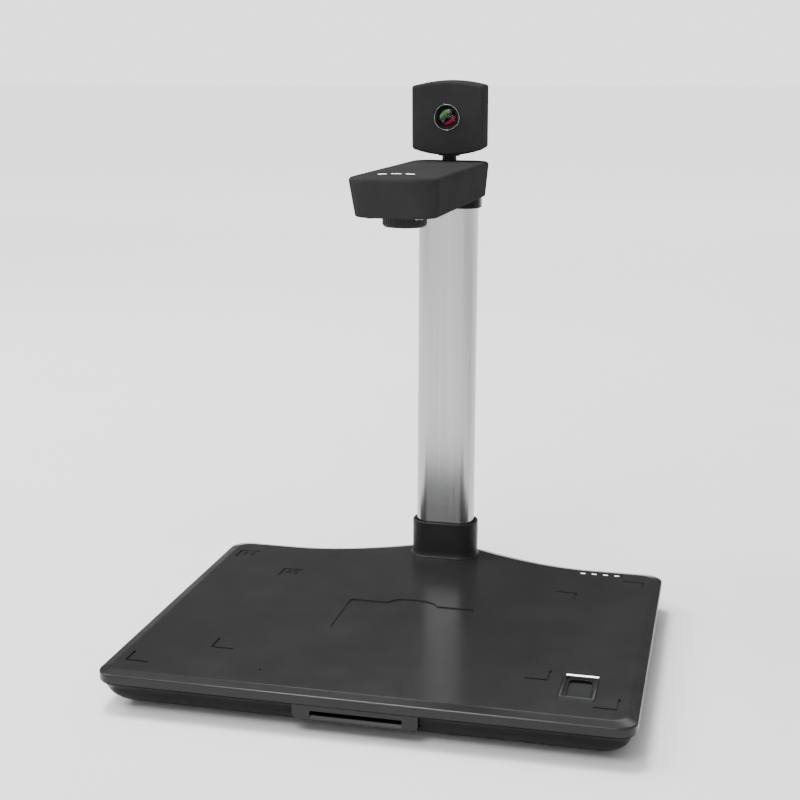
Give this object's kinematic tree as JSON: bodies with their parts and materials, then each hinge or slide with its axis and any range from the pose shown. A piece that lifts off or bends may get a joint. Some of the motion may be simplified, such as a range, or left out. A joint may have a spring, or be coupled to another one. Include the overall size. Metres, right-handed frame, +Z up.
{
  "type": "book scanner",
  "caption": "Desktop book scanner: a flat document bed, a column, an overhead camera head with a focus ring, a card slot, a fingerprint reader and a small tilting portrait camera.",
  "frame": {"origin": "middle of the footprint, on the surface that the feet stand on", "axes": "+Z up, +Y to the back (the column's side), +X to the right seen from the front"},
  "size_m": [0.322, 0.288, 0.3702],
  "materials": {
    "black_cover": "satin, finely textured black ABS",
    "black_trim": "smooth satin black ABS",
    "inner_plastic": "matt black moulding",
    "anodised_aluminium": "satin silver anodised",
    "steel": "zinc plated",
    "chrome": "polished",
    "rubber": "matt",
    "lens_glass": "coated",
    "light_pipe": "milky, lit white",
    "circuit_board": "green solder mask",
    "cable_jacket": "matt"
  },
  "bodies": {
    "stand": {"base_top_cover": "black_cover", "base_bottom_cover": "black_cover", "foot_1": "rubber", "foot_2": "rubber", "foot_3": "rubber", "foot_4": "rubber", "base_screw_1": "steel", "base_screw_2": "steel", "base_screw_3": "steel", "base_screw_4": "steel", "base_screw_5": "steel", "base_screw_6": "steel", "card_slot_bezel": "black_trim", "card_reader_module": "inner_plastic", "rear_port_panel": "black_trim", "usb_socket": "steel", "power_inlet": "inner_plastic", "ballast_plate": "steel", "column_socket": "anodised_aluminium", "main_circuit_board": "circuit_board", "microphone": "steel", "fingerprint_frame": "black_trim", "fingerprint_window": "lens_glass", "fingerprint_sensor": "circuit_board", "fingerprint_light_bar": "light_pipe", "status_light_1": "light_pipe", "status_light_2": "light_pipe", "status_light_3": "light_pipe", "status_light_4": "light_pipe", "column": "anodised_aluminium", "base_collar": "black_trim", "head_collar": "black_trim", "column_harness": "cable_jacket", "head_top_cover": "black_cover", "head_bottom_cover": "black_cover", "head_screw_1": "steel", "head_screw_2": "steel", "head_screw_3": "steel", "head_screw_4": "steel", "touch_key_1": "light_pipe", "touch_key_2": "light_pipe", "touch_key_3": "light_pipe", "touch_key_board": "circuit_board", "image_sensor_board": "circuit_board", "lamp_diffuser": "light_pipe", "lamp_board": "circuit_board", "pan_bush": "inner_plastic", "lens_barrel": "inner_plastic", "main_lens_glass": "lens_glass"},
    "pan_stem": {"pan_stem": "black_trim", "pan_nut": "steel"},
    "portrait_camera": {"camera_front_cover": "black_cover", "camera_rear_cover": "black_cover", "camera_lens_ring": "chrome", "camera_lens_barrel": "inner_plastic", "camera_lens_glass": "lens_glass", "camera_board": "circuit_board", "tilt_pin": "steel"},
    "focus_ring": {"focus_ring": "black_trim"}
  },
  "joints": [
    {"name": "camera_pan", "type": "hinge", "parent": "stand", "child": "pan_stem", "pos_m": [0, 0.1195, 0.31], "axis": [0, 0, 1], "range_deg": [-135, 135]},
    {"name": "camera_tilt", "type": "hinge", "parent": "pan_stem", "child": "portrait_camera", "pos_m": [0, 0.1195, 0.325], "axis": [1, 0, 0], "range_deg": [-17, 20]},
    {"name": "focus_turn", "type": "hinge", "parent": "stand", "child": "focus_ring", "pos_m": [0, -0.018, 0.286], "axis": [0, 0, 1], "range_deg": [-45, 45]}
  ]
}
